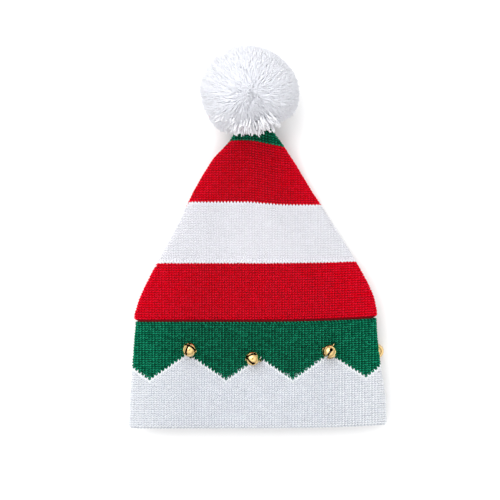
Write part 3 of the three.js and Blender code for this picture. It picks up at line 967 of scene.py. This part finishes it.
pompom_centre = np.array(
    [
        float(column("middle", HAT_LENGTH)) - SEAT_GAP - POMPOM_LEAN,
        HAT_LENGTH + POMPOM_PAST_TIP,
        POMPOM_CENTRE_HEIGHT,
    ]
)
pompom_stretch = np.array([1, POMPOM_LENGTH / POMPOM_DIAMETER, 1])


def sphere_directions(count, random, scatter):
    """Directions spread evenly over a sphere, then scattered a little."""
    k = np.arange(count)
    height = 1 - (2 * k + 1) / count
    out = np.sqrt(1 - height * height)
    angle = k * math.pi * (3 - math.sqrt(5))
    even = np.stack([out * np.cos(angle), height, out * np.sin(angle)], axis=-1)
    even += random.normal(0, scatter, even.shape)
    return even / np.linalg.norm(even, axis=1, keepdims=True)


def inside_crown(points, room):
    """Which points lie within the crown's tip, or closer to it than room."""
    y = np.clip(points[..., 1], 0, HAT_LENGTH)
    x_off = np.abs(points[..., 0] - at_height("middle", y))
    depth = at_height("depth", y)
    z_off = np.abs(points[..., 2] - at_height("lift", y) - depth)
    near = (x_off < at_height("half", y) + room) & (z_off < depth + room)
    return near & (points[..., 1] < HAT_LENGTH + 1)


def unit(vectors):
    return vectors / np.maximum(np.linalg.norm(vectors, axis=-1, keepdims=True), 1e-9)


def growth(aim, depth):
    """How far the pompom reaches that way: its outline, and the hollow where strands part."""
    turn = np.degrees(np.arctan2(aim[:, 1], aim[:, 0]))
    off = np.linalg.norm(aim - np.array(HOLLOW_AIM), axis=-1) / HOLLOW_WIDTH
    outline = 1 + np.interp(turn, OUTLINE_TURN, OUTLINE_GROWTH)
    return POMPOM_DIAMETER / 2 * outline * (1 - depth * np.exp(-off * off))


def even_aims(random):
    """Strands all over the ball, a few of them longer than the rest."""
    aim = sphere_directions(STRAND_COUNT, random, STRAND_SCATTER)
    share = random.normal(MOST_SHARE, SHARE_SPREAD, STRAND_COUNT)
    share += (random.random(STRAND_COUNT) < LONG_SHARE) * random.uniform(*LONG_REACH, STRAND_COUNT)
    return aim, share * growth(aim, STRAND_HOLLOW)


def loose_aims(random):
    """Longer, straighter strands that hang over the crown's tip one by one."""
    turn = np.radians(random.uniform(*LOOSE_TURN, LOOSE_COUNT))
    tilt = np.radians(random.uniform(*LOOSE_TILT, LOOSE_COUNT))
    aim = np.stack([np.sin(tilt) * np.cos(turn), np.sin(tilt) * np.sin(turn), np.cos(tilt)], axis=-1)
    return aim, random.normal(LOOSE_REACH, LOOSE_SPREAD, LOOSE_COUNT)


def grow_strands(aim, reach, random, comb_top, girth=1.0):
    tufts = sphere_directions(TUFT_COUNT, random, TUFT_SCATTER)
    nearest = tufts[np.argmax(aim @ tufts.T, axis=1)]
    combed = aim @ np.array(PARTING)
    outward = unit(combed[:, :2] + random.normal(0, PARTING_NOISE, (len(aim), 2)))
    along = np.array((0, *STRAND_RINGS))
    aside = np.linalg.norm(combed[:, :2], axis=1)[:, None]
    top = np.maximum(combed[:, 2:], 0) * np.minimum(aside / UPRIGHT, 1)
    comb = (COMB_SIDE + (comb_top - COMB_SIDE) * top) * (along - COMB_ROOT)
    slope = np.concatenate([outward * combed[:, 2:], -aside], axis=1)
    slope = slope @ np.array(PARTING).T
    way = aim[:, None] * np.cos(comb)[..., None] + slope[:, None] * np.sin(comb)[..., None]
    way = unit(way + TUFT_PULL * (nearest - aim)[:, None] * along[:, None])
    rise = ROOT_SHARE + (1 - ROOT_SHARE) * (along + top * (along - along**2))
    centre = way * (reach[:, None] * rise)[..., None]
    centre += random.normal(0, STRAY, (len(aim), 1, 3)) * along[:, None] ** 2
    centre = centre * pompom_stretch
    centre[..., 1] *= np.where(centre[..., 1] < 0, TIP_SIDE_SHARE, 1)
    centre += pompom_centre
    rest = TABLE_REST + TABLE_PILE * random.random((len(aim), 1))
    centre[..., 2] = np.maximum(centre[..., 2], rest)
    clear = ~inside_crown(centre, CROWN_ROOM).any(axis=1)
    aim, centre = aim[clear], centre[clear]
    forward = unit(np.gradient(centre, axis=1))
    side = unit(np.cross(forward, [[[0.31, 0.17, 0.94]]]))
    other = np.cross(forward, side)
    ring = np.round(np.interp(strand_points[:, 2], along, range(len(along)))).astype(int)
    spin = random.random((len(aim), 1)) * 2 * math.pi
    x = girth * (np.cos(spin) * strand_points[:, 0] - np.sin(spin) * strand_points[:, 1])
    y = girth * (np.sin(spin) * strand_points[:, 0] + np.cos(spin) * strand_points[:, 1])
    points = centre[:, ring] + x[..., None] * side[:, ring] + y[..., None] * other[:, ring]
    points[..., 2] = np.maximum(points[..., 2], TABLE_CLEARANCE)
    return points + shift, aim


def strand_mesh(name, points, random):
    count, corners = points.shape[:2]
    faces = repeat_faces(strand_faces, corners, count)
    flat = strand_points[strand_faces.ravel()] * [1, 1, POMPOM_DIAMETER / 4]
    uv = np.tile(flat[:, [0, 2]], (count, 1))
    tone = np.repeat(np.clip(random.normal(0.5, 0.25, count), 0, 1), len(strand_faces))
    # Each strand is painted darker at its root, a painted shade, and paler towards its tip.
    painted_light = np.tile(np.clip(1.5 * strand_points[:, 2], 0, 1), count)
    return mesh_from_arrays(name, points.reshape(-1, 3), faces, uv, tone, painted_light)


def model_core():
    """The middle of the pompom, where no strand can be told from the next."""
    fresh()
    bpy.ops.mesh.primitive_uv_sphere_add(segments=64, ring_count=40, radius=1)
    core = bpy.context.object
    core.name = "pompom_core"
    points = points_of(core)
    dents = np.sin(17 * points[:, 0]) * np.sin(19 * points[:, 1] + 1) * np.sin(18 * points[:, 2])
    points *= (CORE_SHARE * (1 + CORE_DENTS * dents) * growth(points, CORE_HOLLOW))[:, None]
    points = points * pompom_stretch
    points[:, 1] *= np.where(points[:, 1] < 0, TIP_SIDE_SHARE, 1)
    points += pompom_centre
    points[:, 2] = np.maximum(points[:, 2], CORE_LOW)
    move_points(core.data, points + shift)
    core.data.uv_layers.active.name = "yarn"
    bpy.ops.object.shade_smooth()
    return core


# %% Dress the pompom
# For the strands, the first colour is painted shade at a strand's root. The loose ends are the same
# yarn painted whiter: a painted highlight.
core_yarn = spun_yarn("packed_acrylic_yarn_white", "#EBECF0", "#EDEEF2", "#EDEEF2")
pompom_yarn = spun_yarn("cut_acrylic_yarn_white", "#E9EAEF", "#EBECF1", "#EDEEF3")
loose_yarn_painted_light = spun_yarn("cut_acrylic_yarn_loose_ends_painted_highlight", "#EEEFF3", "#F8F9FC", "#FCFCFE")
wear(model_core(), core_yarn, "pompom_yarn")
strand_random = np.random.default_rng(7)
strand_places, strand_aims = grow_strands(*even_aims(strand_random), strand_random, COMB_TOP)
loose_places, _ = grow_strands(
    *loose_aims(strand_random), strand_random, COMB_SIDE, girth=LOOSE_GIRTH
)
upper = strand_aims[:, 2] > 0
for side, places, finish, *nodes in (
    ("top", strand_places[upper], pompom_yarn, "pompom"),
    ("foot", strand_places[~upper], pompom_yarn),
    ("loose", loose_places, loose_yarn_painted_light),
):
    strands = strand_mesh("pompom_strands_" + side, places, strand_random)
    wear(strands, finish, "pompom_yarn", *nodes)

# %% [markdown]
# ## The jingle bells
# A jingle bell is pressed from thin steel sheet and plated. Two domes are crimped together at the
# waist, and the lower one has two crossed slots that end in round eyes. It is modelled once,
# standing upright, and copied to each place where a bell has come to lie.

# %% Where each bell lies: name, side, across, up, turn, dip, roll
BELLS = [
    ("front_left", 1, -0.540, 0.747, -80, 50, 45),
    ("front_middle", 1, -0.030, 0.665, -12, 38, 30),
    ("front_right", 1, 0.596, 0.727, 59, 36, 60),
    ("side_right", -1, 0.996, 0.713, 157, 0, 0),
    ("side_left", -1, -0.881, 0.72, 40, 0, 10),
    ("back_right", -1, 0.315, 0.71, 80, 0, 45),
    ("back_left", -1, -0.273, 0.72, 105, 0, 15),
]
BELL_RADIUS = BELL_DIAMETER / 2
LOOP_CENTRE = BELL_RADIUS + LOOP_STAND_SHARE * LOOP_DIAMETER
LOOP_REACH = LOOP_CENTRE + LOOP_DIAMETER / 2
RISE_STEPS = 8
STEEPEST_RISE = 0.95


def cloth_height(x, y, face):
    across = np.clip((x - column("middle", y)) / column("half", y), -1, 1)
    square, depth = column("square", y), column("depth", y)
    bulge = (1 - abs(across) ** square) ** (1 / square)
    height = column("lift", y) + depth + face * bulge * depth
    return max(height - (valley(x, y) * bulge if face > 0 else 0), 0)


def bell_matrix(face, across, up, turn, dip, roll):
    """Puts an upright bell at the origin, in millimetres, where it lies on the hat."""
    y = up * CUFF_HEIGHT
    x = column("middle", y) + across * column("half", y)
    turn = math.radians(turn)
    if face > 0:
        rise = -math.sin(math.radians(dip))
        loop_below = LOOP_REACH * abs(rise) + LOOP_WIRE / 2 + LOOP_SLACK
        height = cloth_height(x, y, 1) + max(BELL_RADIUS + SEAT_GAP, loop_below)
    else:
        rise, height = 0, BELL_RADIUS
        for _ in range(RISE_STEPS):
            out = LOOP_REACH * math.sqrt(1 - rise * rise)
            cloth = cloth_height(x + out * math.cos(turn), y + out * math.sin(turn), -1)
            rise = min((cloth - LOOP_SLACK - LOOP_WIRE / 2 - height) / LOOP_REACH, STEEPEST_RISE)
    level = math.sqrt(1 - rise * rise)
    axis = Vector((level * math.cos(turn), level * math.sin(turn), rise))
    spin = Vector((0, 0, 1)).rotation_difference(axis).to_matrix().to_4x4()
    spin = spin @ Matrix.Rotation(math.radians(roll), 4, "Z")
    place = Vector((x + shift[0], y + shift[1], height))
    return Matrix.Translation(place * MM) @ spin


# %% Model the bell
WAIST_FLARE = 1.025  # the crimped waist stands out by this share
RIM_ROUND = 0.16
CUT_REACH = 2.4  # length of the cutters, in radii


def model_bell():
    fresh()
    r = BELL_RADIUS * MM
    bpy.ops.mesh.primitive_uv_sphere_add(segments=40, ring_count=20, radius=r)
    bell = bpy.context.object
    bell.name = "bell"
    bpy.ops.object.mode_set(mode="EDIT")
    pick(bell, lambda co: abs(co.z) < 0.01 * r)
    bpy.ops.transform.resize(value=(WAIST_FLARE, WAIST_FLARE, 1), center_override=(0, 0, 0))
    bpy.ops.object.mode_set(mode="OBJECT")
    for finish in (gold_plate, inside_in_painted_shade):
        bell.data.materials.append(finish)
    wall = bell.modifiers.new("wall", "SOLIDIFY")
    wall.thickness = BELL_WALL * MM
    wall.offset = -1
    wall.material_offset = 1
    cutters = []
    eye_height = -EYE_DROP_SHARE * r
    for quarter in (0, math.pi / 2):
        fresh()
        bpy.ops.mesh.primitive_cube_add(size=1)
        slot = bpy.context.object
        slot.scale = ((SLOT_WIDTH + SLOT_ROLL) * MM, CUT_REACH * r, 2 * r)
        slot.location = (0, 0, eye_height - r)
        settle(slot)
        bpy.ops.mesh.primitive_cylinder_add(
            vertices=20, radius=(SLOT_EYE + SLOT_ROLL) / 2 * MM, depth=CUT_REACH * r,
            location=(0, 0, eye_height), rotation=(math.pi / 2, 0, 0),
        )
        eyes = settle(bpy.context.object)
        for cutter in (slot, eyes):
            cutter.data.transform(Matrix.Rotation(quarter, 4, "Z"))
            cutters.append(cutter)
    for cutter in cutters:
        cut = bell.modifiers.new("slot", "BOOLEAN")
        cut.operation = "DIFFERENCE"
        cut.solver = "EXACT"
        cut.object = cutter
    rims = bell.modifiers.new("rims", "BEVEL")
    rims.width = RIM_ROUND * MM
    rims.segments = 2
    rims.limit_method = "ANGLE"
    rims.angle_limit = math.radians(50)
    apply_modifiers(bell)
    for cutter in cutters:
        bpy.data.objects.remove(cutter)
    fresh()
    bpy.ops.mesh.primitive_torus_add(
        major_radius=LOOP_DIAMETER / 2 * MM, minor_radius=LOOP_WIRE / 2 * MM,
        major_segments=28, minor_segments=12,
        location=(0, 0, LOOP_CENTRE * MM), rotation=(math.pi / 2, 0, 0),
    )
    loop = settle(bpy.context.object)
    loop.data.materials.append(gold_plate)
    fresh(bell, loop)
    bpy.ops.object.join()
    bpy.ops.object.shade_smooth_by_angle(angle=math.radians(40))
    bell.data.calc_loop_triangles()
    print("one bell:", len(bell.data.loop_triangles), "triangles")
    return bell


# %% Gold plate and steel
def plated_gold():
    """Bright gold plate on pressed steel: a mirror broken by fine rubbing marks and dents."""
    material, tree, shader = new_material("gold_plated_steel")
    haze = noise(tree, 400.0, detail=4.0)
    rough = add_node(
        tree, "MapRange",
        {"Value": haze, "From Min": 0.3, "From Max": 0.7, "To Min": 0.08, "To Max": 0.22},
    )
    feed(shader, {
        "Base Color": blend(tree, haze, linear("#CFA45C"), linear("#EED59E")),
        "Roughness": rough.outputs["Result"],
        "Normal": bump(tree, noise(tree, 260.0), 0.25, 0.3),
        "Metallic": 1.0,
    })
    return material


gold_plate = plated_gold()
# The bell's inside is painted nearly black, a painted shade, so the slots look dark.
inside_in_painted_shade, tree, shader = new_material("bell_inside_in_painted_shade")
feed(shader, {"Metallic": 1.0, "Roughness": 0.6, "Base Color": linear("#140E06")})
bell_master = model_bell()

# %% Place the bells
bell_places = {name: bell_matrix(*pose) for name, *pose in BELLS}
for name, matrix in bell_places.items():
    bell = bell_master.copy()
    bell.data = bell_master.data.copy()
    bell.data.transform(matrix)
    bell.name = "jingle_bell_" + name
    bpy.context.scene.collection.objects.link(bell)
    wear(bell, None, "gold_plate", "bell_" + name)
    low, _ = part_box("bell_" + name)
    off = (Vector(bell.bound_box[0]) - low).length / MM
    print(bell.name, "corner off by", round(off, 2), "mm")
bpy.data.objects.remove(bell_master)

# %% The loose balls
steel, tree, shader = new_material("plain_steel_ball")
rough = add_node(tree, "MapRange", {"Value": noise(tree, 700.0), "To Min": 0.25, "To Max": 0.5})
feed(shader, {
    "Base Color": linear("#8E8C88"), "Roughness": rough.outputs["Result"], "Metallic": 1.0,
})
for name, *_ in BELLS:
    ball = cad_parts["pellet_" + name]
    ball.data.materials.clear()
    ball.data.materials.append(steel)

# %% [markdown]
# ## Sewing thread
# Each bell hangs on a few turns of green thread, which go through its loop and into the cuff.

# %% Sew on the bells
sewing_thread = spun_yarn("green_sewing_thread", "#023F2C", "#075238", "#075238")
THREAD_TURNS = 3
THREAD_RADIUS = 0.28
TURN_RADIUS = 1.5
TURN_FAN = math.radians(30)  # from one turn of the thread to the next
TURN_LIFT = 0.7  # how far the turns' middle lies beyond the bell's loop
for name, matrix in bell_places.items():
    turns_made = []
    for k in range(THREAD_TURNS):
        fresh()
        bpy.ops.mesh.primitive_torus_add(
            major_radius=TURN_RADIUS * MM, minor_radius=THREAD_RADIUS * MM,
            major_segments=20, minor_segments=6,
        )
        turn = bpy.context.object
        fan = Matrix.Rotation(TURN_FAN * (k - 1), 4, "Z")
        stand = Matrix.Rotation(math.pi / 2, 4, "Y")
        lift = Matrix.Translation((0, 0, (LOOP_REACH + TURN_LIFT) * MM))
        turn.data.transform(lift @ fan @ stand)
        turn.data.transform(matrix)
        turns_made.append(turn)
    fresh(*turns_made)
    bpy.ops.object.join()
    sewn = bpy.context.object
    sewn.name = "thread_" + name
    bpy.ops.object.shade_smooth()
    wear(sewn, sewing_thread, "sewing_thread")

# %% [markdown]
# ## Table, light and camera
# The hat lies on a white sweep that is lit until it is blank. A broad lamp at the upper left gives
# the soft shadows at the right and under the hem, and light from all round fills the rest. Right
# overhead the camera and its stand take some of it away. The camera looks straight down from far
# enough away that the hat's height hardly spreads its outline.

# %% White table
fresh()
bpy.ops.mesh.primitive_plane_add(size=8)
table = bpy.context.object
table.name = "table"
paper, tree, shader = new_material("white_paper_sweep")
feed(shader, {"Base Color": (0.95, 0.95, 0.95, 1), "Roughness": 0.9, "Specular IOR Level": 0.1})
table.data.materials.append(paper)

# %% Light
HORIZON = 0.56  # how bright the sky is low down
OVERHEAD = 1.56  # how much brighter the sky is right overhead
SOFTBOX = 2.1  # how bright the softbox is above the ambient light
SOFTBOX_WAY = Vector((-0.45, 0.47, 0.9)).normalized()
SOFTBOX_EDGE = [math.cos(math.radians(angle)) for angle in (33, 21)]
CEILING_EDGE = [math.cos(math.radians(angle)) for angle in (26, 4)]
CEILING = -1.4  # the camera and its stand, right overhead
world = bpy.data.worlds.new("studio")
bpy.context.scene.world = world
world.use_nodes = True
tree = world.node_tree
way = add_node(tree, "TexCoord").outputs["Generated"]


def patch_of_sky(centre, edge, value):
    """A round patch of the sky, soft at its edge, with the value inside and 0 outside."""
    facing = add_node(tree, "VectorMath", {0: way, 1: centre}, operation="DOT_PRODUCT")
    inside = add_node(
        tree, "MapRange",
        {"Value": facing.outputs["Value"], "From Min": edge[0], "From Max": edge[1],
         "To Min": 0.0, "To Max": value},
        interpolation_type="SMOOTHSTEP",
    )
    return inside.outputs["Result"]


def reckon(operation, *values):
    """The result of one sum between sockets and numbers."""
    return add_node(tree, "Math", dict(enumerate(values)), operation=operation).outputs[0]


softbox = patch_of_sky(SOFTBOX_WAY, SOFTBOX_EDGE, SOFTBOX)
camera_stand = patch_of_sky((0, 0, 1), CEILING_EDGE, CEILING)
up = add_node(tree, "SeparateXYZ", {0: way}).outputs["Z"]
dome = reckon("MULTIPLY_ADD", reckon("MULTIPLY", up, up), OVERHEAD, HORIZON)
total = reckon("ADD", reckon("ADD", softbox, dome), camera_stand)
feed(tree.nodes["Background"], {"Color": (1.0, 1.0, 1.0, 1), "Strength": total})
bpy.context.scene.view_settings.view_transform = "Standard"

# %% Camera
PIXELS = 500
PIXEL_MM = 0.9  # one pixel on the hat
HAT_MIDDLE_PX = 257.8  # where the hat's middle line and its hem lie in the photograph
HEM_PX = 428
CAMERA_HEIGHT = 1.8
FOCUS_HEIGHT = 0.022  # height of the hat's widest outline
image_middle = PIXELS / 2
camera_x = (image_middle - HAT_MIDDLE_PX) * PIXEL_MM + shift[0]
camera_y = (HEM_PX - image_middle) * PIXEL_MM + shift[1]
bpy.ops.object.camera_add(location=(camera_x * MM, camera_y * MM, CAMERA_HEIGHT))
camera = bpy.context.object
camera.data.sensor_width = 36
camera.data.lens = 36 * (CAMERA_HEIGHT - FOCUS_HEIGHT) / (PIXELS * PIXEL_MM * MM)
camera.rotation_euler = (0, 0, 0)
bpy.context.scene.camera = camera
